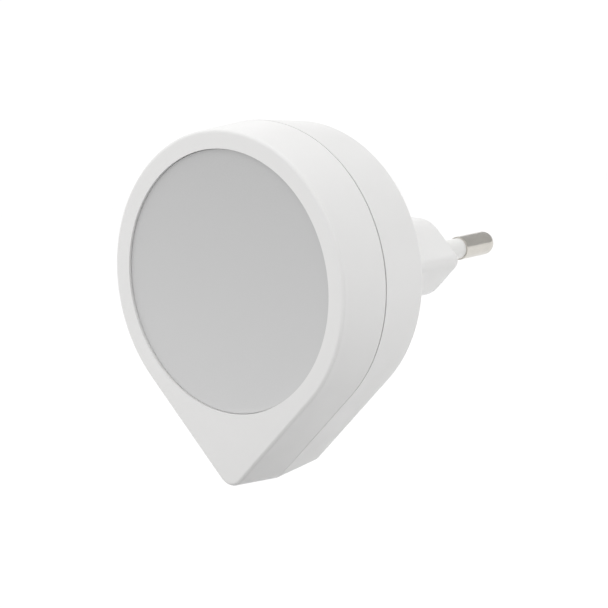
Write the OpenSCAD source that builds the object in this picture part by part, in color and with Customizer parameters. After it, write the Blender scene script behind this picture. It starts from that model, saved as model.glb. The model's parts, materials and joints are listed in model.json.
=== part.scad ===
// Plug-in night light for a two-pin flat plug. A drop-shaped casing of two moulded shells holds a
// round frosted light window, a reflector cup, a round LED board with its mains parts and a small
// slide switch. The plug insert is screwed into the rear shell and carries the two pins.
//
// Frame: the origin is the middle of the plug's flat end face, between the pins. The casing lies
// towards -Y and faces -Y, the pins point towards +Y, and +Z is up. Inside the modules the same
// frame is laid flat: x is right, y is up and z runs from the plug's end face towards the room.

/* [Casing] */
// Radius of the round top at the seam
casing_r = 25.4; // [24:0.1:30]
// Radius of the pointed end at the seam
tip_r = 3.6; // [3:0.1:6]
// Distance from the round top's edge to the pointed end's centre
tip_reach = 5.3; // [4.6:0.1:10.6]
// Depth of the front shell, from the seam to the front face
front_depth = 10; // [9:0.5:14]
// Depth of the rear shell, from the seam to the back
rear_depth = 11; // [10:0.5:15]
// Draft of the front shell's sides, in degrees
front_draft = 1.8; // [0:0.2:4]
// Draft of the rear shell's sides, in degrees
rear_draft = 6.6; // [2:0.2:9]
// Rounding of the front face's outer edge
front_round = 1.6; // [0.5:0.1:1.8]
// Rounding of the back's outer edge
rear_round = 1.0; // [0.4:0.1:1.6]
// Wall thickness of both shells
wall = 1.8; // [1.5:0.1:2.2]
// Width of the shadow line between the shells
seam_gap = 0.3; // [0.1:0.05:0.5]
// Thickness of the front shell's rim outside the tongue
rim_t = 0.9; // [0.7:0.05:1]
// Height of the rear shell's tongue
tongue_h = 1.8; // [1.2:0.1:2.4]

/* [Light window] */
// Width of the front face's ring around the round window
bezel_w = 3.7; // [3.3:0.1:7]
// Gap around the diffuser in the window
window_gap = 0.25; // [0.1:0.05:0.4]
// Depth of the diffuser's face below the front face
diffuser_recess = 0.45; // [0.1:0.05:1]
// Wall thickness of the diffuser
diffuser_t = 1.4; // [1:0.1:2]
// Rounding of the diffuser's front edge
diffuser_round = 0.5; // [0.2:0.1:0.8]
// Thickness of the diffuser's flange
flange_t = 1.2; // [0.8:0.1:1.6]
// Gap between the flange and the front shell's side
flange_gap = 0.45; // [0.3:0.05:0.8]

/* [Reflector and board] */
// Height of the reflector cup, from the board to the diffuser's flange
cup_h = 5.5; // [4.5:0.5:7]
// Width of the cup's sloping side
cup_slope_w = 9.4; // [8.4:0.2:10.4]
// Wall thickness of the cup
cup_t = 0.9; // [0.8:0.1:1.2]
// Height of the ring that keeps the cup's floor off the board
cup_foot = 1; // [0.8:0.1:1.4]
// Width of the cup's rim under the diffuser's flange
cup_rim_w = 1.4; // [1:0.1:2]
// Gap between the circuit board and the snap hooks
board_gap = 0.6; // [0.4:0.1:1.4]
// Thickness of the circuit board
board_t = 1.2; // [0.8:0.2:1.6]
// Number of light-emitting diodes
led_count = 4; // [3:1:6]
// Distance of the diodes' middles from the edge of the cup's floor
led_inset = 4.4; // [3.6:0.2:6]
// Size of one diode
led_size = [2.8, 3.5, 0.8];
// Gap around each diode in the cup's floor
led_gap = 0.7; // [0.4:0.1:1]
// Radius of each board post on the rear shell
post_r = 2.3; // [2:0.1:2.8]

/* [Plug] */
// Width of the plug's six-sided body
plug_w = 35.8; // [34.6:0.1:36]
// Height of the plug's body
plug_h = 13.2; // [13:0.1:14.4]
// Length of the plug's body behind the casing
plug_reach = 18.1; // [17.5:0.1:22]
// Rounding of the plug's side ridges
ridge_r = 1.7; // [0.5:0.1:2.5]
// Rounding where the plug's slopes meet its top and bottom
crown_r = 5.5; // [1:0.1:5.8]
// Rounding of the edge around the plug's end face
plug_edge = 0.6; // [0.2:0.1:1.2]
// Diameter of the bare end of each pin
pin_d = 4; // [4:0.01:4.06]
// Length of each pin from the end face
pin_len = 19; // [18.5:0.1:19.5]
// Distance between the pins at the end face
pin_space = 18.6; // [18:0.1:19.2]
// Distance between the pins at their tips
pin_tip_space = 17.5; // [17:0.1:18]
// Rounding of each pin's tip
pin_round = 1.8; // [1:0.1:1.9]
// Diameter of the insulating sleeve
sleeve_d = 3.5; // [3.3:0.1:3.8]
// Length of the sleeve in front of the end face
sleeve_len = 10.2; // [10:0.1:11]
// Width and depth of the relief around each sleeve in the end face
sleeve_relief = [0.2, 0.4];
// Diameter of each pin inside its sleeve
core_d = 2.6; // [2.4:0.1:2.8]
// Width of the plug's flange inside the casing
plug_flange_w = 2; // [1.6:0.1:2.2]
// Thickness of that flange
plug_flange_t = 2; // [1.5:0.1:2.5]

/* [Switch] */
// Travel of the slide switch
switch_travel = 2.5; // [2:0.1:3]
// Size of the switch's housing, out from the centre, up and along the depth
switch_size = [5.6, 11, 6.4];
// Width of the knob along its travel
knob_w = 3.4; // [3:0.1:4]
// Height of the knob along the depth
knob_h = 2.4; // [2:0.1:2.6]
// How far the knob stands out of the casing
knob_proud = 1.2; // [0.8:0.1:1.6]
// Thickness of the dust shield on the knob
shield_t = 0.8; // [0.6:0.1:1]
// How far the shield reaches past the slot, along the travel and across it
shield_lap = [0.4, 0.6];

/* [Fits] */
// Gap between pieces that are only laid together
fit = 0.1; // [0.05:0.05:0.15]
// Gap around the sliding knob
slide_gap = 0.2; // [0.15:0.05:0.3]

/* [Hidden] */
$fn = 64;
// How far a cut reaches past what it cuts
over = 1;
// How far one solid of a piece reaches into the next
sink = 0.5;

// Heights above the plug's end face
back_z = plug_reach;
floor_z = back_z + wall;
seam_z = back_z + rear_depth;
front_z = seam_z + front_depth;
bezel_z = front_z - wall;
flange_z = bezel_z - flange_t;
board_front_z = flange_z - cup_h;
board_z = board_front_z - board_t;
rim_z = seam_z + seam_gap;
ledge_z = seam_z + tongue_h;

// Casing outline: centre of the pointed end, lean and length of the straight side above it
tip_drop = casing_r + tip_reach;
side_lean = asin((casing_r - tip_r) / tip_drop);
side_len = tip_drop * cos(side_lean);
// Plug outline: its six roundings in anticlockwise order, each as x, y and radius
ridge_x = plug_w / 2 - ridge_r * sqrt(2);
crown_x = (plug_w - plug_h) / 2 - crown_r * (sqrt(2) - 1);
crown_y = plug_h / 2 - crown_r;
plug = [
    [ridge_x, 0, ridge_r], [crown_x, crown_y, crown_r], [-crown_x, crown_y, crown_r],
    [-ridge_x, 0, ridge_r], [-crown_x, -crown_y, crown_r], [crown_x, -crown_y, crown_r]
];
far = 4 * casing_r;
// Straight sides lie this far inside the rounds that they touch, so that the two cross cleanly
kiss = 0.001;

// Light window
window_r = casing_r - bezel_w;
diffuser_r = window_r - window_gap;
flange_r = casing_r - wall - front_set(bezel_z) - flange_gap;

// Screws: shank radius, head radius, head height, shank length; depth of their cross slots
casing_screw_size = [1.1, 2, 1.4, 8];
board_screw_size = [0.95, 1.8, 1.2, 6];
plug_screw_size = [0.95, 2.9, 1.1, 3.2];
slot_depth = 0.6;
pilot_gap = 0.02;
screw_gap = 0.15;

// Casing screw near the pointed end
boss_r = 2.6;
boss_up = 3.8;
boss_y = -(tip_drop - boss_up);
boss_drop = 3.5;
boss_end_z = seam_z - boss_drop;
screw_seat = 1.6;
tunnel_r = 3.4;
head_z = boss_end_z - screw_seat;

// Snap hooks at the round top
hook_angles = [55, 125];
hook_w = 5;
hook_t = 1;
hook_len = 4.2;
hook_end_z = seam_z - hook_len;
hook_grip = 1;
hook_h = 1.5;
hook_tip = 0.3;
hook_gap = 0.3;
hook_room = 0.5;
hook_r = inner_r(hook_end_z) - hook_room - hook_t;

// Reflector cup, and the ring on which the diodes sit
cup_rim_r = flange_r - fit;
cup_mouth_r = cup_rim_r - cup_rim_w;
cup_floor_r = cup_mouth_r - cup_slope_w;
led_ring_r = cup_floor_r - led_inset;

// Circuit board and its posts on the rear shell's floor
board_r = hook_r - board_gap;
post_inset = 1.9;
posts = [for (angle = [90, 237.5, 302.5]) (board_r - post_inset) * [cos(angle), sin(angle)]];

// Plug flange: its ears, the spigots in them and their screws
ear_inset = 4.3;
ear_out = 2;
ear_at = [plug_w / 2 - ear_inset, plug_h / 2 + ear_out];
ear_r = 3.6;
spigot_r = 1.9;
flange_top_z = floor_z + plug_flange_t;

// Pins
pin_lean = atan((pin_space - pin_tip_space) / 2 / pin_len);
pin_collar = [2.2, 3, 3];
tab_size = [0.8, 2.6, 3.6];
tab_gap = 0.2;
sleeve_root = 1.5;

// Slide switch, laid out on the right and then mirrored to the left
switch_z = board_z - switch_size.z / 2;
slot_w = knob_w + switch_travel + 2 * slide_gap;
slot_h = knob_h + 2 * slide_gap;
shield_w = slot_w + switch_travel + 2 * shield_lap[0];
shield_h = slot_h + 2 * shield_lap[1];
shield_reach = shield_w / 2 + switch_travel / 2;
shield_x = sqrt(pow(inner_r(switch_z - shield_h / 2), 2) - pow(shield_reach, 2)) - slide_gap;
housing_x = shield_x - shield_t - slide_gap;
housing_t = 0.8;
cover_t = 0.3;
contact_t = 0.3;
terminal_size = [0.4, 1];
slider_w = switch_size.y - 2 * housing_t - switch_travel - 2 * slide_gap;
slider_x = housing_x - cover_t - fit;
slider_t = slider_x - contact_t - fit - terminal_size.x - housing_t - (housing_x - switch_size.x);
housing_in_x = housing_x - switch_size.x;
terminal_x = housing_in_x + housing_t + terminal_size.x / 2;
slider_h = switch_size.z - 2 * housing_t - 2 * fit;
rest_y = -switch_travel / 2;
terminal_space = 2.5;
contact_w = 4;
ribs = 4;

// Parts on the back of the board, and the spacing of their leads
film_size = [13, 5.5, 8.6];
film_inset = 7.9;
film_at = [-8.2, board_r - film_inset];
film_pitch = 10;
can_r = 3.15;
can_h = 8.4;
can_x = 6.6;
can_at = [can_x, film_at.y - film_size.y / 2 + can_r];
can_edge = 0.35;
can_groove = [1, 1.4, 1.8, 2.2];
can_pitch = 2.5;
bridge_size = [8.3, 6.4, 3.2];
bridge_inset = 7.8;
bridge_at = [0, bridge_inset - board_r];
bridge_pitch = [5, 7.8];
bridge_foot = 1;
fuse_size = [3.2, 9];
fuse_at = [3.6, 2];
bleed_size = [2.4, 6.6];
bleed_at = [3, -2.2];
lead_r = 0.3;
lead_out = 0.6;
lead_bend = 1.5;
wire_r = 0.8;
wire_bend = 1.8;
wire_end = 0.6;
wire_gap = 0.5;
wire_run = film_at.y - film_size.y / 2 - wire_r - wire_gap;

// Sideways set-in of a drafted side at a height
function front_set(z) = (z - seam_z) * tan(front_draft);
function rear_set(z) = (seam_z - z) * tan(rear_draft);
// Radius of the rear shell's inner wall at a height
function inner_r(z) = casing_r - wall - rear_set(z);

// The sweeps below carry a profile around an outline. In the profile, x = 0 is the outline, x < 0
// is inside it and y is the height, so that a slope is a draft and an arc is a rounded edge.

// The profile moved out to a radius and cut off at the axis
module at_radius(r) {
    intersection() {
        translate([r, 0]) children();
        translate([0, -far]) square([far, 2 * far]);
    }
}

// The profile turned once around the middle of a round
module round_side(r) {
    rotate_extrude() at_radius(r) children();
}

// The profile along a straight side that runs towards -Y, between two rounds that it touches. It
// stays a hair inside their outline, bottom z0 and top z1, so that all faces cross cleanly.
module straight_side(r, length, z0, z1) {
    rotate([90, 0, 0]) linear_extrude(length) intersection() {
        translate([r - kiss, 0]) children();
        translate([0, z0 + kiss]) square([far, z1 - z0 - 2 * kiss]);
    }
}

// A body in the casing's outline from height z0 to z1, with the profile around its sides
module casing_sweep(z0, z1) {
    round_side(casing_r) children();
    translate([0, -tip_drop]) round_side(tip_r) children();
    for (m = [0, 1]) mirror([m, 0, 0]) rotate(-side_lean)
        straight_side(casing_r, side_len, z0, z1) children();
}

function next(i) = plug[(i + 1) % len(plug)];
// Angle of the outward normal of the straight side after one of the plug's roundings
function side_angle(i) = let (a = plug[i], b = next(i))
    atan2(b.y - a.y, b.x - a.x) - acos((a[2] - b[2]) / norm([b.x - a.x, b.y - a.y]));

// A flat plate in the plug's outline, wider on all sides by a margin
module plug_plate(margin, z0, z1) {
    count = len(plug);
    translate([0, 0, z0]) linear_extrude(z1 - z0) {
        polygon([for (i = [0 : count - 1]) for (turn = [side_angle((i + count - 1) % count), side_angle(i)])
            [plug[i].x, plug[i].y] + (plug[i][2] + margin - kiss) * [cos(turn), sin(turn)]]);
        for (c = plug) translate([c.x, c.y]) circle(c[2] + margin);
    }
}

// A body in the plug's outline from height 0 to z1, with the profile around its sides
module plug_sweep(z1) {
    linear_extrude(z1) polygon([for (c = plug) [c.x, c.y]]);
    for (i = [0 : len(plug) - 1]) {
        a = plug[i];
        b = next(i);
        turn = side_angle(i);
        side = sqrt(pow(norm([b.x - a.x, b.y - a.y]), 2) - pow(a[2] - b[2], 2));
        reach = far * [cos(turn), sin(turn)];
        translate([a.x, a.y]) round_side(a[2]) children();
        intersection() {
            translate([a.x, a.y]) rotate(turn) translate([a[2] - kiss, side + over, 0])
                rotate([90, 0, 0]) linear_extrude(side + 2 * over) children();
            translate([0, 0, -far]) linear_extrude(2 * far)
                polygon([[a.x, a.y], [a.x, a.y] + reach, [b.x, b.y] + reach, [b.x, b.y]]);
        }
    }
}

// Profile of a drafted side that ends in a rounded edge, from height 0 up to h
module drafted_side(h, draft, edge) {
    cx = -(h - edge) * tan(draft) - edge / cos(draft);
    cy = h - edge;
    polygon([
        [-far, 0], [0, 0], [cx + edge * cos(draft), cy + edge * sin(draft)], [cx, h], [-far, h]
    ]);
    translate([cx, cy]) circle(edge);
}

// Places a piece on both pins' leaning axes, or on one of them
module on_pin(side) {
    translate([side * pin_space / 2, 0, 0]) rotate([0, side * pin_lean, 0]) children();
}

module on_switch_side() {
    mirror([1, 0, 0]) children();
}

// A block of the switch from x0 to x1, centred across and along the depth
module block(x0, x1, w, h) {
    translate([x0, -w / 2, switch_z - h / 2]) cube([x1 - x0, w, h]);
}

// A screw with its shank up and its head's underside at height 0
module screw(size) {
    slot = [size[1] * 1.1, size[1] / 4];
    difference() {
        union() {
            translate([0, 0, -size[2]]) cylinder(r = size[1], h = size[2]);
            translate([0, 0, -size[2] / 4]) cylinder(r = size[0], h = size[3] + size[2] / 4);
        }
        for (turn = [0, 90]) rotate(turn) translate([-slot.x / 2, -slot.y / 2, -size[2] - over])
            cube([slot.x, slot.y, slot_depth + over]);
    }
}

module lead(at, body_z) {
    translate([at.x, at.y, body_z]) cylinder(r = lead_r, h = board_front_z + lead_out - body_z);
}

module lead_holes(at) {
    translate([at.x, at.y, board_z - over]) cylinder(r = lead_r + pilot_gap, h = board_t + 2 * over);
}

// Where the leads of every part go through the board
film_leads = [for (s = [-1, 1]) film_at + [s * film_pitch / 2, 0]];
can_leads = [for (s = [-1, 1]) can_at + [s * can_pitch / 2, 0]];
bridge_leads = [for (sx = [-1, 1]) for (sy = [-1, 1])
    bridge_at + [sx * bridge_pitch.x / 2, sy * bridge_pitch.y / 2]];
fuse_leads = [for (s = [-1, 1]) fuse_at + [s * (fuse_size.y / 2 + lead_bend), 0]];
bleed_leads = [for (s = [-1, 1]) bleed_at + [s * (bleed_size.y / 2 + lead_bend), 0]];

module front_shell() {
    color("white") difference() {
        union() {
            difference() {
                casing_sweep(rim_z, front_z) translate([-front_set(rim_z), rim_z])
                    drafted_side(front_z - rim_z, front_draft, front_round);
                casing_sweep(seam_z, bezel_z) polygon([
                    [-far, seam_z], [-wall, seam_z], [-wall - front_set(bezel_z), bezel_z], [-far, bezel_z]
                ]);
                casing_sweep(back_z, ledge_z) polygon([
                    [-far, back_z], [-rim_t, back_z], [-rim_t - front_set(ledge_z), ledge_z], [-far, ledge_z]
                ]);
            }
            translate([0, boss_y, boss_end_z]) cylinder(r = boss_r, h = bezel_z + sink - boss_end_z);
            for (angle = hook_angles) rotate(angle) snap_hook();
        }
        translate([0, 0, bezel_z - over]) cylinder(r = window_r, h = wall + 2 * over);
        translate([0, boss_y, boss_end_z - over])
            cylinder(r = casing_screw_size[0] + pilot_gap, h = casing_screw_size[3] + over);
    }
}

// A sprung arm with a barb that points outwards, hung from the front shell's side
module snap_hook() {
    root_z = ledge_z + hook_gap;
    root_top_z = flange_z - cup_t - hook_gap;
    translate([hook_r, -hook_w / 2, hook_end_z]) cube([hook_t, hook_w, root_top_z - hook_end_z]);
    translate([hook_r, -hook_w / 2, root_z])
        cube([casing_r - wall + sink - hook_r, hook_w, root_top_z - root_z]);
    translate([hook_r, hook_w / 2, hook_end_z]) rotate([90, 0, 0]) linear_extrude(hook_w)
        polygon([[0, 0], [hook_t, 0], [hook_t + hook_grip, hook_h - hook_tip],
            [hook_t + hook_grip, hook_h], [0, hook_h]]);
}

module rear_shell() {
    color("white") difference() {
        union() {
            difference() {
                union() {
                    casing_sweep(back_z, seam_z) translate([0, seam_z]) mirror([0, 1])
                        drafted_side(rear_depth, rear_draft, rear_round);
                    casing_sweep(seam_z - over, ledge_z) translate([-far, seam_z - over])
                        square([far - rim_t - fit, tongue_h + over]);
                }
                casing_sweep(floor_z, front_z) polygon([
                    [-far, floor_z], [-wall - rear_set(floor_z), floor_z], [-wall, seam_z],
                    [-wall, front_z], [-far, front_z]
                ]);
            }
            for (at = posts) translate([at.x, at.y, floor_z - sink])
                cylinder(r = post_r, h = board_z - floor_z + sink);
            translate([0, boss_y, back_z + rear_round])
                cylinder(r = tunnel_r, h = boss_end_z - back_z - rear_round);
            for (s = [-1, 1]) translate([s * ear_at.x, s * ear_at.y, floor_z - sink])
                cylinder(r = spigot_r, h = plug_flange_t + sink);
        }
        plug_plate(fit, back_z - over, floor_z + over);
        for (at = posts) translate([at.x, at.y, board_z - board_screw_size[3]])
            cylinder(r = board_screw_size[0] + pilot_gap, h = board_screw_size[3] + over);
        for (s = [-1, 1]) translate([s * ear_at.x, s * ear_at.y, flange_top_z - plug_screw_size[3]])
            cylinder(r = plug_screw_size[0] + pilot_gap, h = plug_screw_size[3] + over);
        translate([0, boss_y, back_z - over])
            cylinder(r = casing_screw_size[1] + screw_gap, h = head_z - back_z + over);
        translate([0, boss_y, back_z]) cylinder(r = casing_screw_size[0] + screw_gap, h = far);
        for (angle = hook_angles) rotate(angle) hook_pocket();
        on_switch_side() block(shield_x - over, far, slot_w, slot_h);
    }
}

// The pocket in the rear shell's side that a snap hook's barb springs into
module hook_pocket() {
    translate([hook_r, -hook_w / 2 - hook_gap, hook_end_z - hook_gap])
        cube([hook_t + hook_grip + hook_gap, hook_w + 2 * hook_gap, hook_h + hook_gap + fit]);
}

module diffuser() {
    face_z = front_z - diffuser_recess;
    color("silver") rotate_extrude() difference() {
        union() {
            translate([0, flange_z]) square([flange_r, flange_t]);
            translate([0, flange_z]) square([diffuser_r, face_z - diffuser_round - flange_z]);
            translate([0, flange_z]) square([diffuser_r - diffuser_round, face_z - flange_z]);
            translate([diffuser_r - diffuser_round, face_z - diffuser_round]) circle(diffuser_round);
        }
        translate([0, flange_z - over])
            square([diffuser_r - diffuser_t, face_z - diffuser_t - flange_z + over]);
    }
}

// The cup's section, from the board up: foot ring, floor, cone and rim
module reflector() {
    floor_top = cup_foot + cup_t;
    color("white") translate([0, 0, board_front_z]) difference() {
        rotate_extrude() polygon([
            [0, cup_foot], [cup_floor_r, cup_foot], [cup_floor_r, 0], [cup_floor_r + cup_t, 0],
            [cup_floor_r + cup_t, cup_foot], [cup_mouth_r + cup_t / 2, cup_h - cup_t],
            [cup_rim_r, cup_h - cup_t], [cup_rim_r, cup_h], [cup_mouth_r, cup_h],
            [cup_floor_r, floor_top], [0, floor_top]
        ]);
        at_leds() translate([0, 0, cup_foot + cup_t / 2])
            cube([led_size.x + 2 * led_gap, led_size.y + 2 * led_gap, 2 * cup_t], center = true);
    }
}

module at_leds() {
    for (i = [0 : led_count - 1]) rotate(45 + i * 360 / led_count)
        translate([led_ring_r, 0]) children();
}

module circuit_board() {
    color("palegoldenrod") difference() {
        translate([0, 0, board_z]) cylinder(r = board_r, h = board_t);
        for (at = posts) translate([at.x, at.y, board_z - over])
            cylinder(r = board_screw_size[0] + screw_gap, h = board_t + 2 * over);
        for (at = concat(film_leads, can_leads, bridge_leads, fuse_leads, bleed_leads)) lead_holes(at);
        for (s = [-1, 1]) translate([pin_wire_x(s), wire_run, board_z - over])
            cylinder(r = wire_r / 2 + pilot_gap, h = board_t + 2 * over);
        on_switch_side() for (i = [-1 : 1]) terminal_slot(i);
    }
}

module leds() {
    color("khaki") at_leds() translate([0, 0, board_front_z + led_size.z / 2])
        cube(led_size, center = true);
}

module film_capacitor() {
    color("goldenrod") {
        translate([film_at.x - film_size.x / 2, film_at.y - film_size.y / 2, board_z - film_size.z])
            cube(film_size);
        for (at = film_leads) lead(at, board_z - sink);
    }
}

module electrolytic_capacitor() {
    in_r = can_r - can_edge;
    color("dimgray") {
        translate([can_at.x, can_at.y, board_z]) rotate_extrude() polygon([
            [0, 0], [in_r, 0], [can_r, -can_edge], [can_r, -can_groove[0]], [in_r, -can_groove[1]],
            [in_r, -can_groove[2]], [can_r, -can_groove[3]], [can_r, can_edge - can_h], [in_r, -can_h],
            [0, -can_h]
        ]);
        for (at = can_leads) lead(at, board_z - sink);
    }
}

module bridge_rectifier() {
    color("dimgray") {
        translate([bridge_at.x, bridge_at.y, board_z - bridge_size.z / 2])
            cube(bridge_size, center = true);
        for (at = bridge_leads) {
            lead(at, board_z - bridge_size.z / 2);
            side = sign(at.y - bridge_at.y);
            translate([at.x - lead_r, min(at.y + side * lead_r, at.y - side * bridge_foot),
                board_z - bridge_size.z / 2 - lead_r])
                cube([2 * lead_r, bridge_foot + lead_r, 2 * lead_r]);
        }
    }
}

// A lying round part with bent leads: size is its diameter and its length
module axial_part(at, size, leads) {
    z = board_z - size.x / 2;
    end = norm(leads[1] - leads[0]) / 2;
    translate([at.x, at.y, z]) rotate([0, 90, 0]) {
        cylinder(r = size.x / 2, h = size.y, center = true);
        cylinder(r = lead_r, h = 2 * end, center = true);
    }
    for (to = leads) lead(to, z);
}

module fusible_resistor() {
    color("seagreen") axial_part(fuse_at, fuse_size, fuse_leads);
}

module bleed_resistor() {
    color("tan") axial_part(bleed_at, bleed_size, bleed_leads);
}

module terminal_slot(i) {
    translate([terminal_x, i * terminal_space, board_z + board_t / 2])
        cube([terminal_size.x + 2 * fit, terminal_size.y + 2 * fit, board_t + 2 * over], center = true);
}

module switch_housing() {
    color("black") on_switch_side() difference() {
        block(housing_in_x, housing_x - cover_t, switch_size.y, switch_size.z);
        block(housing_in_x + housing_t, housing_x + over, switch_size.y - 2 * housing_t,
            switch_size.z - 2 * housing_t);
        for (i = [-1 : 1]) terminal_slot(i);
    }
}

// The metal cover that closes the housing and leaves a slot for the knob's neck
module switch_cover() {
    color("silver") on_switch_side() difference() {
        block(housing_x - cover_t, housing_x, switch_size.y, switch_size.z);
        block(housing_x - over, housing_x + over, slot_w, slot_h);
    }
}

module switch_terminals() {
    color("goldenrod") on_switch_side() for (i = [-1 : 1])
        translate([terminal_x - terminal_size.x / 2, i * terminal_space - terminal_size.y / 2, switch_z])
            cube([terminal_size.x, terminal_size.y, board_front_z + lead_out - switch_z]);
}

// The sliding piece: slider in the housing, neck, dust shield and the ribbed grip outside
module switch_knob() {
    grip_x = casing_r - rear_set(switch_z) + knob_proud;
    rib = knob_w / ribs;
    color("white") on_switch_side() translate([0, rest_y, 0]) {
        block(slider_x - slider_t, slider_x, slider_w, slider_h);
        block(slider_x - slider_t / 2, grip_x - rib / 2, knob_w, knob_h);
        block(shield_x - shield_t, shield_x, shield_w, shield_h);
        for (i = [0 : ribs - 1]) translate([grip_x - rib / 2, -knob_w / 2 + i * rib, switch_z - knob_h / 2])
            linear_extrude(knob_h)
                polygon([[-sink, 0], [0, 0], [rib / 2, rib / 2], [0, rib], [-sink, rib]]);
    }
}

module switch_contact() {
    x1 = slider_x - slider_t;
    color("goldenrod") on_switch_side() translate([0, rest_y, 0])
        block(x1 - contact_t, x1, contact_w, slider_h / 2);
}

module plug_body() {
    color("white") difference() {
        union() {
            plug_sweep(floor_z) translate([0, floor_z]) mirror([0, 1]) drafted_side(floor_z, 0, plug_edge);
            plug_plate(plug_flange_w, floor_z, flange_top_z);
            for (s = [-1, 1]) translate([s * ear_at.x, s * ear_at.y, floor_z])
                cylinder(r = ear_r, h = plug_flange_t);
        }
        for (s = [-1, 1]) {
            translate([s * ear_at.x, s * ear_at.y, floor_z - over])
                cylinder(r = spigot_r + fit, h = plug_flange_t + 2 * over);
            on_pin(s) pin_core(pilot_gap);
            on_pin(s) translate([0, 0, -over])
                cylinder(r = sleeve_d / 2 + pilot_gap, h = sleeve_root + over);
            on_pin(s) translate([0, 0, -over])
                cylinder(r = sleeve_d / 2 + sleeve_relief[0], h = sleeve_relief[1] + over);
        }
    }
}

// The part of a pin that the plug body grips, with its retaining collar
module pin_core(gap) {
    translate([0, 0, -over]) cylinder(r = core_d / 2 + gap, h = flange_top_z + 2 * over);
    translate([0, 0, pin_collar[1] - gap]) cylinder(r = pin_collar[0] + gap, h = pin_collar[2] + 2 * gap);
}

module pin(s) {
    bare = pin_len - sleeve_len;
    color("gainsboro") on_pin(s) {
        translate([0, 0, pin_collar[1]]) cylinder(r = pin_collar[0], h = pin_collar[2]);
        translate([0, 0, -sleeve_len - sink])
            cylinder(r = core_d / 2, h = sleeve_len + flange_top_z + 2 * sink);
        translate([0, 0, -pin_len]) rotate_extrude() intersection() {
            union() {
                translate([0, pin_round]) square([pin_d / 2, bare - pin_round]);
                square([pin_d / 2 - pin_round, bare]);
                translate([pin_d / 2 - pin_round, pin_round]) circle(pin_round);
            }
            square([pin_d, bare]);
        }
        translate([-tab_size.x / 2, -tab_size.y / 2, flange_top_z + tab_gap]) cube(tab_size);
    }
}

module live_pin() {
    pin(1);
}

module neutral_pin() {
    pin(-1);
}

module pin_sleeve(s) {
    color("white") on_pin(s) difference() {
        translate([0, 0, -sleeve_len]) cylinder(r = sleeve_d / 2, h = sleeve_len + sleeve_root);
        translate([0, 0, -sleeve_len - over])
            cylinder(r = core_d / 2 + pilot_gap, h = sleeve_len + sleeve_root + 2 * over);
    }
}

module live_pin_sleeve() {
    pin_sleeve(1);
}

module neutral_pin_sleeve() {
    pin_sleeve(-1);
}

// Where a wire stands beside its pin's solder tab, measured at half of the tab's height
function pin_wire_x(s) = let (z = flange_top_z + tab_gap + tab_size.z / 2)
    s * (pin_space / 2 + z * tan(pin_lean) + tab_size.x / 2 + wire_r + fit);

// A wire from a solder tab up, across and up again through the board
module board_wire(s) {
    bend_z = board_z - 2 * wire_bend - wire_end;
    translate([pin_wire_x(s), 0, 0]) {
        translate([0, 0, flange_top_z + wire_end])
            cylinder(r = wire_r, h = bend_z - flange_top_z - wire_end);
        translate([0, wire_bend, bend_z]) rotate([90, 0, -90]) rotate_extrude(angle = 90)
            translate([wire_bend, 0]) circle(wire_r);
        translate([0, wire_bend, bend_z + wire_bend]) rotate([-90, 0, 0])
            cylinder(r = wire_r, h = wire_run - 2 * wire_bend);
        translate([0, wire_run - wire_bend, bend_z + 2 * wire_bend]) rotate([90, 0, 90])
            rotate([0, 0, -90]) rotate_extrude(angle = 90) translate([wire_bend, 0]) circle(wire_r);
        translate([0, wire_run, bend_z + 2 * wire_bend]) cylinder(r = wire_r, h = wire_end);
        translate([0, wire_run, board_z - sink]) cylinder(r = wire_r / 2, h = board_t + lead_out + sink);
    }
}

module live_wire() {
    color("sienna") board_wire(1);
}

module neutral_wire() {
    color("steelblue") board_wire(-1);
}

module plug_screws() {
    color("silver") for (s = [-1, 1]) translate([s * ear_at.x, s * ear_at.y, flange_top_z])
        mirror([0, 0, 1]) screw(plug_screw_size);
}

module board_screws() {
    color("silver") for (at = posts) translate([at.x, at.y, board_front_z])
        mirror([0, 0, 1]) screw(board_screw_size);
}

module casing_screw() {
    color("silver") translate([0, boss_y, head_z]) screw(casing_screw_size);
}

// Stands the flat frame up, so that the casing faces -Y and the tip points down
module upright() {
    rotate([90, 0, 0]) children();
}

upright() front_shell();
upright() rear_shell();
upright() diffuser();
upright() reflector();
upright() circuit_board();
upright() leds();
upright() film_capacitor();
upright() electrolytic_capacitor();
upright() bridge_rectifier();
upright() fusible_resistor();
upright() bleed_resistor();
upright() switch_housing();
upright() switch_cover();
upright() switch_terminals();
upright() switch_knob();
upright() switch_contact();
upright() plug_body();
upright() live_pin();
upright() neutral_pin();
upright() live_pin_sleeve();
upright() neutral_pin_sleeve();
upright() live_wire();
upright() neutral_wire();
upright() plug_screws();
upright() board_screws();
upright() casing_screw();
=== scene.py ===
import json
import math

import bpy
from mathutils import Matrix, Vector


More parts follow.
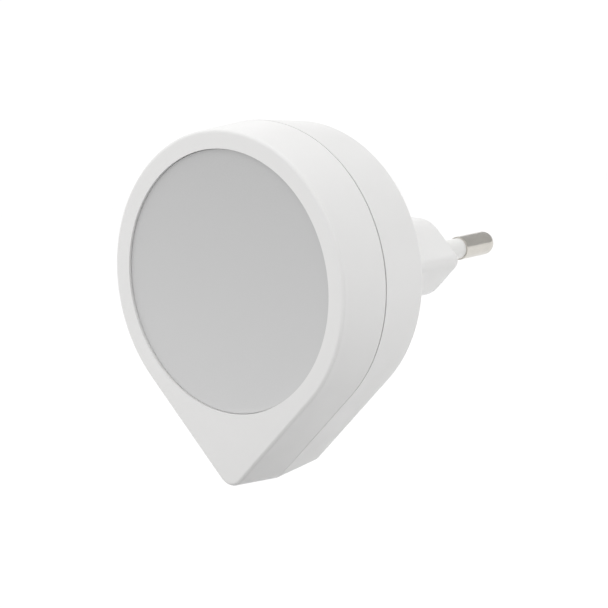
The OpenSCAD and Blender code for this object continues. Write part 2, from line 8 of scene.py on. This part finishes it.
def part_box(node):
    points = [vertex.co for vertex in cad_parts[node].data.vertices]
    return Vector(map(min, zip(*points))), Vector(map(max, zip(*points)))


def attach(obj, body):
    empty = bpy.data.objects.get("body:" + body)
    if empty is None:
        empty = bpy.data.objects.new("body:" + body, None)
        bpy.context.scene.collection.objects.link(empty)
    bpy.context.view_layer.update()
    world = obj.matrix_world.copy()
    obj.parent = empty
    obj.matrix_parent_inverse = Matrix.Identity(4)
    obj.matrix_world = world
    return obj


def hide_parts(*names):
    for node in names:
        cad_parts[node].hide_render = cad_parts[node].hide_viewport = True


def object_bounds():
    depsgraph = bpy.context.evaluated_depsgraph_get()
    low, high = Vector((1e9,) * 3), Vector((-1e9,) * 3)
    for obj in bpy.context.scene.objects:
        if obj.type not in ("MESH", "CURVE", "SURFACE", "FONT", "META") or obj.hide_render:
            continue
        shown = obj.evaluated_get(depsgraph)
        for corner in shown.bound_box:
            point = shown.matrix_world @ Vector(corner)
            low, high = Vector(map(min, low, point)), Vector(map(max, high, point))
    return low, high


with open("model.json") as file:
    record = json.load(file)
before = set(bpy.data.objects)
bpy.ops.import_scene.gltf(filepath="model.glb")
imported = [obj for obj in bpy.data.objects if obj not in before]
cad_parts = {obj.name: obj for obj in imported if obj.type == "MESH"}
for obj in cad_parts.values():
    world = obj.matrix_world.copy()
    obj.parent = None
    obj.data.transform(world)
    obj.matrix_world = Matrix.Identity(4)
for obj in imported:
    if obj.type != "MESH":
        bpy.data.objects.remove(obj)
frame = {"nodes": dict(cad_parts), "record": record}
cad_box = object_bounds()
NODES = frame["nodes"]
SUBPARTS = frame["record"]["subparts"]
scene = bpy.context.scene
front_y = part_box("front_shell")[0].y

MM = 0.001  # every length below is in metres, unless its name or comment says otherwise

# ---------------------------------------------------------------- camera
IMAGE_PX = 608
SENSOR_MM = 36.0
FOCAL_PX = 3141.0
VIEW_AZIMUTH = math.radians(40.897)
VIEW_ELEVATION = math.radians(9.92)
VIEW_ROLL = math.radians(-0.923)
VIEW_DISTANCE = 0.507386  # from the middle of the front face
FRAMING = (-0.012586, 0.003505)  # how far the view centre lies from that point, right and up


def view_axes():
    """The picture's right and up, and the way into it."""
    a, e, r = VIEW_AZIMUTH, VIEW_ELEVATION, VIEW_ROLL
    right = Vector((math.cos(a), math.sin(a), 0))
    forward = Vector((-math.sin(a) * math.cos(e), math.cos(a) * math.cos(e), -math.sin(e)))
    up = right.cross(forward)
    rolled_right = right * math.cos(r) + up * math.sin(r)
    rolled_up = up * math.cos(r) - right * math.sin(r)
    return rolled_right, rolled_up, forward


def add_camera():
    right, up, forward = view_axes()
    data = bpy.data.cameras.new("camera")
    data.sensor_width = SENSOR_MM
    data.lens = SENSOR_MM * FOCAL_PX / IMAGE_PX
    data.clip_start = 0.01
    data.clip_end = 100
    camera = bpy.data.objects.new("camera", data)
    scene.collection.objects.link(camera)
    turn = Matrix((right, up, -forward)).transposed()
    front_centre = Vector((0, front_y, 0))
    place = front_centre - right * FRAMING[0] - up * FRAMING[1] - forward * VIEW_DISTANCE
    camera.matrix_world = Matrix.Translation(place) @ turn.to_4x4()
    scene.camera = camera


# ---------------------------------------------------------------- node helpers
class Nodes:
    """A small builder for the node tree of a material or of the world."""

    MIX_A, MIX_B, MIX_RESULT = 6, 7, 2  # a Mix node's colour sockets, which share their names

    def __init__(self, holder, output="ShaderNodeOutputMaterial"):
        holder.use_nodes = True
        self.holder = holder
        self.tree = holder.node_tree
        self.tree.nodes.clear()
        self.surface = self.add(output).inputs["Surface"]
        self.coords = self.add("ShaderNodeTexCoord").outputs

    def add(self, kind, **settings):
        node = self.tree.nodes.new(kind)
        for key, value in settings.items():
            setattr(node, key, value)
        return node

    def put(self, value, socket):
        """Links an output to a socket, or sets a plain value on it."""
        if isinstance(value, bpy.types.NodeSocket):
            self.tree.links.new(value, socket)
        else:
            socket.default_value = value

    def fill(self, node, values):
        """Puts the values on a node's first inputs in their order, and gives its first output."""
        for value, socket in zip(values, node.inputs):
            self.put(value, socket)
        return node.outputs[0]

    def maths(self, operation, first, second):
        return self.fill(self.add("ShaderNodeMath", operation=operation), (first, second))

    def noise(self, scale, detail=2, stretch=None):
        """Noise of so many features to the metre, times the stretch's numbers along X, Y and Z."""
        node = self.add("ShaderNodeTexNoise")
        place = self.coords["Object"]
        if stretch is not None:
            mapping = self.add("ShaderNodeMapping")
            self.put(place, mapping.inputs["Vector"])
            self.put(stretch, mapping.inputs["Scale"])
            place = mapping.outputs["Vector"]
        self.put(place, node.inputs["Vector"])
        self.put(scale, node.inputs["Scale"])
        self.put(detail, node.inputs["Detail"])
        return node.outputs["Fac"]

    def between(self, factor, low, high, start=0.35, end=0.65, kind="LINEAR"):
        """A number that runs from low to high as the factor runs from start to end.
        Without those two it takes in most of a noise's range."""
        node = self.add("ShaderNodeMapRange", interpolation_type=kind)
        return self.fill(node, (factor, start, end, low, high))

    def blend(self, factor, first, second):
        """A colour that runs from the first to the second as the factor runs from 0 to 1."""
        node = self.add("ShaderNodeMix", data_type="RGBA")
        self.put(factor, node.inputs["Factor"])
        self.put(first, node.inputs[self.MIX_A])
        self.put(second, node.inputs[self.MIX_B])
        return node.outputs[self.MIX_RESULT]

    def mix(self, factor, first, second):
        """A shader that is the first where the factor is 0 and the second where it is 1."""
        return self.fill(self.add("ShaderNodeMixShader"), (factor, first, second))

    def diffuse(self, colour):
        return self.fill(self.add("ShaderNodeBsdfDiffuse"), (colour,))

    def bump(self, height, strength, distance, normal=None):
        node = self.add("ShaderNodeBump")
        self.put(strength, node.inputs["Strength"])
        self.put(distance, node.inputs["Distance"])
        self.put(height, node.inputs["Height"])
        if normal is not None:
            self.put(normal, node.inputs["Normal"])
        return node.outputs["Normal"]

    def background_rays(self):
        """1 for the rays that see the background itself: camera, mirror and clear ones."""
        path = self.add("ShaderNodeLightPath").outputs
        mirror = self.maths("MAXIMUM", path["Is Camera Ray"], path["Is Glossy Ray"])
        return self.maths("MAXIMUM", mirror, path["Is Transmission Ray"])

    def finish(self, **sockets):
        """Ends a material with one principled shader, whose inputs are given by name."""
        shader = self.add("ShaderNodeBsdfPrincipled")
        for name, value in sockets.items():
            self.put(value, shader.inputs[name.replace("_", " ")])
        self.put(shader.outputs["BSDF"], self.surface)
        return self.holder


def new_material(name):
    return Nodes(bpy.data.materials.new(name))


def grey(value, tint=(0.0, 0.0, 0.0)):
    """An opaque colour: a linear grey level with a small tint on it."""
    return (value + tint[0], value + tint[1], value + tint[2], 1.0)


def shade(colour, factor):
    """The same colour, that many times as light."""
    return (colour[0] * factor, colour[1] * factor, colour[2] * factor, 1.0)


# ---------------------------------------------------------------- materials
WHITE = grey(0.80, (0.002, -0.002, -0.008))
WARM_WHITE = grey(0.80, (0.004, 0.0, -0.014))
BRIGHT_WHITE = grey(0.86)
OPAL = grey(0.588)
NICKEL = grey(0.63, (0.025, 0.0, -0.045))
STEEL = grey(0.60, (0.0, 0.0, 0.005))
BRASS = (0.66, 0.47, 0.20, 1.0)
PALE_BOARD = (0.71, 0.67, 0.50, 1.0)
YELLOW_PHOSPHOR = (0.85, 0.70, 0.17, 1.0)
ORANGE_COATING = (0.52, 0.17, 0.015, 1.0)
BLACK_FILM = (0.006, 0.008, 0.012, 1.0)
BLACK_RESIN = (0.012, 0.012, 0.013, 1.0)
DARK_RESIN = (0.014, 0.014, 0.015, 1.0)
GREEN_ENAMEL = (0.033, 0.15, 0.07, 1.0)
TAN_ENAMEL = (0.48, 0.33, 0.15, 1.0)
BROWN_INSULATION = (0.1, 0.03, 0.012, 1.0)
BLUE_INSULATION = (0.011, 0.05, 0.32, 1.0)

# The window's grey at the top and bottom of the disc, and the even grey that the frost mixes in,
# as shares of its colour. The darker top is painted shade and the lighter bottom is painted light
WINDOW_SHADED_TOP, WINDOW_LIT_BOTTOM, WINDOW_EVEN = 0.77, 1.19, 0.995
GRAIN_DEPTH = 0.02 * MM
WEAVE = 620  # size of the board's weave, in the wave texture's own scale


def moulded_plastic(name, colour, roughness=0.38, mottle=0.985, grain=0.05):
    """Satin moulded plastic: faint mottling, a fine spark-eroded grain and a slow waviness."""
    m = new_material(name)
    cloud = m.between(m.noise(90, detail=3), 0.0, 1.0)
    speck = m.between(m.noise(5200, detail=1), 0.0, 1.0, start=0.2, end=0.8)
    base = m.blend(cloud, shade(colour, mottle), colour)
    wave = m.bump(m.noise(55, detail=1), 0.035, 0.6 * MM)
    return m.finish(
        Base_Color=m.blend(speck, shade(colour, 0.992), base),
        Roughness=m.between(m.noise(240, detail=3), roughness - 0.04, roughness + 0.05),
        Normal=m.bump(m.noise(7600), grain, GRAIN_DEPTH, wave),
    )


def frosted_window(name, colour):
    """Opal sheet, unlit: a fine etched frost, with painted shade darkening the top of the disc and
    painted light brightening the bottom.
    """
    m = new_material(name)
    split = m.add("ShaderNodeSeparateXYZ")
    m.put(m.coords["Object"], split.inputs["Vector"])
    low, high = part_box("diffuser")
    height = m.between(split.outputs["Z"], 0.0, 1.0, start=low.z, end=high.z)
    # Painted shade and light: the disc's grey darkens towards its top and lightens towards its bottom
    base = m.blend(height, shade(colour, WINDOW_LIT_BOTTOM), shade(colour, WINDOW_SHADED_TOP))
    frost = m.between(m.noise(3800), 0.44, 0.56)
    soft = m.bump(m.noise(30, detail=1), 0.03, 0.8 * MM)
    return m.finish(
        Base_Color=m.blend(frost, shade(colour, WINDOW_EVEN), base),
        Roughness=m.between(m.noise(900), 0.49, 0.53),
        Normal=m.bump(m.noise(9000), 0.004, GRAIN_DEPTH, soft),
    )


def drawn_metal(name, colour, roughness=0.2):
    """Plated metal drawn along the pin: faint streaks along its length, slightly uneven plating."""
    m = new_material(name)
    cloud = m.between(m.noise(500, detail=3), 0.0, 1.0)
    streaks = m.noise(1, stretch=(2300, 60, 2300))
    return m.finish(
        Base_Color=m.blend(cloud, shade(colour, 0.95), colour),
        Metallic=1.0,
        Roughness=m.between(m.noise(1200), roughness - 0.03, roughness + 0.04),
        Normal=m.bump(streaks, 0.05, GRAIN_DEPTH),
    )


def plain_metal(name, colour, roughness=0.32):
    """Rolled or turned metal with a slightly cloudy surface."""
    m = new_material(name)
    cloud = m.between(m.noise(900, detail=4), 0.0, 1.0)
    return m.finish(
        Base_Color=m.blend(cloud, shade(colour, 0.88), colour),
        Metallic=1.0,
        Roughness=m.between(m.noise(2500), roughness - 0.06, roughness + 0.1),
        Normal=m.bump(m.noise(4200), 0.06, GRAIN_DEPTH),
    )


def coated(name, colour, roughness, spots=600):
    """Resin, enamel or insulation of one colour, with its own unevenness."""
    m = new_material(name)
    cloud = m.between(m.noise(spots, detail=4), 0.0, 1.0)
    return m.finish(
        Base_Color=m.blend(cloud, shade(colour, 0.86), colour),
        Roughness=m.between(m.noise(spots * 3), roughness - 0.06, roughness + 0.08),
        Normal=m.bump(m.noise(spots * 6), 0.07, 0.03 * MM),
    )


def laminate(name, colour):
    """Board laminate: a woven glass cloth that shows faintly through the resin."""
    m = new_material(name)
    threads = []
    for direction in "XZ":
        wave = m.add("ShaderNodeTexWave", bands_direction=direction, wave_profile="SIN")
        m.put(m.coords["Object"], wave.inputs["Vector"])
        m.put(WEAVE, wave.inputs["Scale"])
        m.put(0.6, wave.inputs["Distortion"])
        threads.append(wave.outputs["Fac"])
    cross = m.maths("MULTIPLY", *threads)
    return m.finish(
        Base_Color=m.blend(cross, shade(colour, 0.9), colour),
        Roughness=m.between(m.noise(500), 0.34, 0.46),
        Normal=m.bump(cross, 0.1, GRAIN_DEPTH),
    )


# For each material slot of the record: what makes it, its colour and its other settings
MATERIALS = {
    "shell_plastic": (moulded_plastic, WHITE, {}),
    "plug_plastic": (moulded_plastic, WHITE, {"roughness": 0.42, "grain": 0.07}),
    "sleeve_plastic": (moulded_plastic, WARM_WHITE, {"roughness": 0.4, "grain": 0.06}),
    "knob_plastic": (moulded_plastic, WHITE, {"roughness": 0.45, "grain": 0.08}),
    "reflector_plastic": (moulded_plastic, BRIGHT_WHITE, {"roughness": 0.2, "grain": 0.02}),
    "diffuser_plastic": (frosted_window, OPAL, {}),
    "pin_nickel": (drawn_metal, NICKEL, {}),
    "switch_steel": (plain_metal, STEEL, {}),
    "screw_steel": (plain_metal, STEEL, {"roughness": 0.38}),
    "contact_brass": (plain_metal, BRASS, {}),
    "board_laminate": (laminate, PALE_BOARD, {}),
    "led_phosphor": (coated, YELLOW_PHOSPHOR, {"roughness": 0.4, "spots": 1500}),
    "film_coating": (coated, ORANGE_COATING, {"roughness": 0.3}),
    "can_sleeve": (coated, BLACK_FILM, {"roughness": 0.3}),
    "rectifier_resin": (coated, BLACK_RESIN, {"roughness": 0.6, "spots": 1200}),
    "fuse_enamel": (coated, GREEN_ENAMEL, {"roughness": 0.42}),
    "bleed_enamel": (coated, TAN_ENAMEL, {"roughness": 0.42}),
    "switch_resin": (coated, DARK_RESIN, {"roughness": 0.5, "spots": 900}),
    "live_insulation": (coated, BROWN_INSULATION, {"roughness": 0.45, "spots": 400}),
    "neutral_insulation": (coated, BLUE_INSULATION, {"roughness": 0.45, "spots": 400}),
}


def dress_nodes():
    """Gives every CAD node the material of its slot."""
    made = {}
    for part in SUBPARTS:
        slot = part["material_slot"]
        if slot not in made:
            maker, colour, settings = MATERIALS[slot]
            made[slot] = maker(slot, colour, **settings)
        mesh = NODES[part["node"]].data
        mesh.materials.clear()
        mesh.materials.append(made[slot])


# ---------------------------------------------------------------- finer edges on the casing
# The source's rounding of the front's outer edge and its gap around the diffuser are wider than
# the photograph's. Both pieces are taken over with finer edges, and the rear shell with a smooth
# shading across the joins of its straight and round sides. They are otherwise unchanged.
# The casing's sizes as the source has them:
CASING_R = 25.4 * MM
TIP_R = 3.6 * MM
TIP_DROP = CASING_R + 5.3 * MM
FRONT_DEPTH = 10.0 * MM
WALL = 1.8 * MM
RIM_T = 0.9 * MM
TAN_DRAFT = math.tan(math.radians(1.8))
COS_DRAFT = math.cos(math.radians(1.8))
TAN_REAR = math.tan(math.radians(6.6))
RECESS = 0.45 * MM
SEAM_MADE = 0.3 * MM
# Sizes as made and as they are here:
EDGE_MADE, EDGE_FINE = 1.6 * MM, 0.6 * MM
DIFFUSER_R_MADE, DIFFUSER_R_FINE = 21.45 * MM, 21.66 * MM
LENS_EDGE_MADE, LENS_EDGE_FINE = 0.5 * MM, 0.15 * MM
FRONT_SET_IN = 0.25 * MM  # how far the finer front edge lies inside the one made, none at the seam
EASE = 1.5 * MM  # width of the flat front over which the points inside that edge follow it
# Width of the shadow line in millimetres, at angles around the casing in degrees, anticlockwise
# from +X
SEAM_FINE = (
    (-180, 0.14), (-75, 0.06), (-62, 0.06), (-38, 0.16), (-15, 0.28), (25, 0.28), (60, 0.16), (180, 0.14)
)
NEAR = 0.02 * MM  # two places this close count as one


def from_outline(x, z):
    """Distance of a point outwards from the casing's outline at the seam, and the way outwards."""
    side = -1 if x < 0 else 1
    sine = (CASING_R - TIP_R) / TIP_DROP
    cosine = math.sqrt(1 - sine * sine)
    along = -(side * x * sine + z * cosine)
    if along < 0:
        way, radius = Vector((x, z)), CASING_R
    elif along > TIP_DROP * cosine:
        way, radius = Vector((x, z + TIP_DROP)), TIP_R
    else:
        return side * x * cosine - z * sine - CASING_R, Vector((side * cosine, -sine))
    return way.length - radius, way.normalized()


def edge_middle(radius):
    """Where the middle of a rounding of the outer edge lies, outwards from the outline."""
    return -(FRONT_DEPTH - radius) * TAN_DRAFT - radius / COS_DRAFT


def seam_width(x, z):
    """Width of the finer shadow line at a point of the outline."""
    angle = math.degrees(math.atan2(z, x))
    for (start, low), (end, high) in zip(SEAM_FINE, SEAM_FINE[1:]):
        if angle <= end:
            return (low + (high - low) * (angle - start) / (end - start)) * MM
    return SEAM_FINE[-1][1] * MM


def on_side(point):
    """The way the casing's drafted side faces at a point of it, or nothing for a point elsewhere."""
    outwards, way = from_outline(point.x, point.z)
    behind_seam = point.y - front_y - FRONT_DEPTH
    tangent = TAN_REAR if behind_seam > -NEAR else -TAN_DRAFT
    if abs(outwards + behind_seam * tangent) > NEAR:
        return None
    return Vector((way.x, tangent, way.y)).normalized()


def finer_shell(point):
    """The front shell with a smaller rounding of its outer edge and a thinner shadow line."""
    outwards, way = from_outline(point.x, point.z)
    depth = point.y - front_y
    middle = edge_middle(EDGE_MADE)
    moved_out, moved_depth = outwards, depth
    set_in = FRONT_SET_IN * (1 - depth / FRONT_DEPTH)
    if outwards > middle - NEAR and depth < EDGE_MADE * (1 + TAN_DRAFT) + NEAR:
        share = EDGE_FINE / EDGE_MADE
        moved_out = edge_middle(EDGE_FINE) + (outwards - middle) * share
        moved_depth = EDGE_FINE + (depth - EDGE_MADE) * share
        moved_out -= FRONT_SET_IN * (1 - moved_depth / FRONT_DEPTH)
    elif depth < NEAR and outwards > middle - EASE:
        moved_out += (edge_middle(EDGE_FINE) - middle - set_in) * (1 - (middle - outwards) / EASE)
    elif outwards > -RIM_T - 3 * NEAR and abs(depth - (FRONT_DEPTH - SEAM_MADE)) < NEAR:
        moved_depth = FRONT_DEPTH - seam_width(point.x, point.z)
    elif on_side(point):
        moved_out -= set_in
    shift = way * (moved_out - outwards)
    return Vector((point.x + shift.x, front_y + moved_depth, point.z + shift.y))


def finer_diffuser(point):
    """The diffuser with its face a little wider and its edge a little sharper."""
    radius = math.hypot(point.x, point.z)
    depth = point.y - front_y
    middle = DIFFUSER_R_MADE - LENS_EDGE_MADE
    if not middle - NEAR < radius < DIFFUSER_R_MADE + NEAR or depth > WALL + NEAR:
        return point
    share = LENS_EDGE_FINE / LENS_EDGE_MADE
    grown = DIFFUSER_R_FINE - LENS_EDGE_FINE + (radius - middle) * share
    if depth < RECESS + LENS_EDGE_MADE + NEAR:
        depth = RECESS + (depth - RECESS) * share
    return Vector((point.x * grown / radius, front_y + depth, point.z * grown / radius))


def unmoved(point):
    return point


def take_over(node, name, move):
    """Makes a piece that stands for a CAD node, with its points moved and its drafted sides smooth."""
    source = NODES[node]
    mesh = source.data.copy()
    mesh.name = name
    normals = [tuple(corner.vector) for corner in source.data.corner_normals]
    ways = [on_side(vertex.co) for vertex in mesh.vertices]
    for face in mesh.polygons:
        depths = [mesh.vertices[index].co.y for index in face.vertices]
        runs_back = max(depths) - min(depths) > NEAR / 2
        if runs_back and all(ways[index] for index in face.vertices):
            for loop, index in zip(face.loop_indices, face.vertices):
                normals[loop] = tuple(ways[index])
    for vertex in mesh.vertices:
        vertex.co = move(vertex.co.copy())
    mesh.normals_split_custom_set(normals)
    piece = bpy.data.objects.new(name, mesh)
    scene.collection.objects.link(piece)
    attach(piece, "light")
    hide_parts(node)


# ---------------------------------------------------------------- studio
FLOOR_DROP = 0.040  # how far the floor lies below the object
FLOOR_SIZE = 12.0
FLOOR_SEEN = 0.9  # how pale the floor looks to the camera and in reflections
FLOOR_LIT_SHARE = 0.15  # share of that look that comes from the light on it, shadows included
FLOOR_GLOW = 1.06  # brings the whole to white where nothing shades the floor
# The floor throws back less light around two places of its own, one far in front and one below the
# object's point: all of it beyond the far radius, and only a share of it inside the near one
FLOOR_SHADES = (
    {"middle": (0.0, -0.40, 0.0), "near": 0.10, "far": 0.44, "share": 0.3},
    {"middle": (0.03, -0.05, 0.0), "near": 0.03, "far": 0.06, "share": 0.0},
)
WORLD_LEVEL = 0.86
WORLD_LEAN = (-0.3, -0.05, 0.5)  # how much brighter it is towards +X, +Y and +Z, as shares of its level
# The lamps all aim at the casing; their power is in watts
SOFTBOXES = {
    "overhead": {"place": (-0.15, -0.43, 0.89), "side": 0.35, "power": 0.3},
    "back_top": {"place": (0.15, 0.30, 0.93), "side": 0.50, "power": 0.7},
}
# A card either shades the object or only shows in what reflects it. The back card shows in the
# pins, and the others shade the right and left sides.
CARDS = {
    "back_card": {"place": (0.10, 0.75, 0.42), "size": (1.40, 0.80), "level": 0.5, "shades": False},
    "side_card": {"place": (0.55, 0.10, 0.02), "size": (0.80, 0.28), "level": 0.25, "shades": True},
    "left_card": {"place": (-0.50, 0.28, 0.03), "size": (0.75, 0.34), "level": 0.3, "shades": True},
}


def rectangle(name, width, height):
    """A flat rectangle in its own X and Y, about its own origin."""
    x, y = width / 2, height / 2
    mesh = bpy.data.meshes.new(name)
    mesh.from_pydata([(-x, -y, 0), (x, -y, 0), (x, y, 0), (-x, y, 0)], [], [(0, 1, 2, 3)])
    flat = bpy.data.objects.new(name, mesh)
    scene.collection.objects.link(flat)
    return flat


def turn_towards(thing, way, axis):
    """Turns an object so that its own axis points that way."""
    thing.rotation_mode = "QUATERNION"
    thing.rotation_quaternion = way.to_track_quat(axis, "Y")


def add_floor():
    """Paper that looks white to the camera, keeps the object's shadow and throws light back up."""
    floor = rectangle("floor", FLOOR_SIZE, FLOOR_SIZE)
    floor.location = (0, 0, cad_box[0].z - FLOOR_DROP)
    m = new_material("floor_paper")
    glow = m.add("ShaderNodeEmission")
    m.put(FLOOR_GLOW, glow.inputs["Strength"])
    seen = m.mix(1 - FLOOR_LIT_SHARE, m.diffuse(grey(FLOOR_SEEN)), glow.outputs["Emission"])
    levels = []
    for zone in FLOOR_SHADES:
        away = m.add("ShaderNodeVectorMath", operation="DISTANCE")
        m.put(m.coords["Object"], away.inputs[0])
        m.put(zone["middle"], away.inputs[1])
        distance = away.outputs["Value"]
        levels.append(m.between(distance, zone["share"], 1.0, zone["near"], zone["far"], "SMOOTHSTEP"))
    thrown_back = m.diffuse(m.maths("MULTIPLY", *levels))
    m.put(m.mix(m.background_rays(), thrown_back, seen), m.surface)
    floor.data.materials.append(m.holder)


def add_card(name, place, size, level, shades):
    """A grey card that faces the object and that the camera doesn't see."""
    card = rectangle(name, *size)
    card.location = place
    turn_towards(card, Vector(place), "Z")
    card.visible_camera = False
    card.visible_diffuse = shades
    card.visible_glossy = not shades
    card.visible_shadow = False
    m = new_material(name)
    m.put(m.diffuse(grey(level)), m.surface)
    card.data.materials.append(m.holder)


def add_world():
    """A white background, and a soft light that grows from one side of the room to the other."""
    world = bpy.data.worlds.new("studio")
    scene.world = world
    m = Nodes(world, "ShaderNodeOutputWorld")
    lean = m.add("ShaderNodeVectorMath", operation="DOT_PRODUCT")
    m.put(m.coords["Generated"], lean.inputs[0])
    m.put([WORLD_LEVEL * share for share in WORLD_LEAN], lean.inputs[1])
    level = m.maths("ADD", lean.outputs["Value"], WORLD_LEVEL)
    light = m.fill(m.add("ShaderNodeBackground"), (grey(1.0), level))
    seen = m.fill(m.add("ShaderNodeBackground"), (grey(1.0), 1.0))
    m.put(m.mix(m.background_rays(), light, seen), m.surface)


def add_softbox(name, place, side, power):
    data = bpy.data.lights.new(name, "AREA")
    data.size = side
    data.energy = power
    lamp = bpy.data.objects.new(name, data)
    lamp.location = place
    casing_middle = Vector((0, (cad_box[0].y + cad_box[1].y) / 2, 0))
    turn_towards(lamp, casing_middle - Vector(place), "-Z")
    scene.collection.objects.link(lamp)


scene.view_settings.view_transform = "Standard"
dress_nodes()
take_over("front_shell", "front_shell_fine_edge", finer_shell)
take_over("diffuser", "diffuser_fine_edge", finer_diffuser)
take_over("rear_shell", "rear_shell_smooth", unmoved)
add_floor()
for card_name, card in CARDS.items():
    add_card(card_name, **card)
add_world()
for lamp_name, lamp in SOFTBOXES.items():
    add_softbox(lamp_name, **lamp)
add_camera()
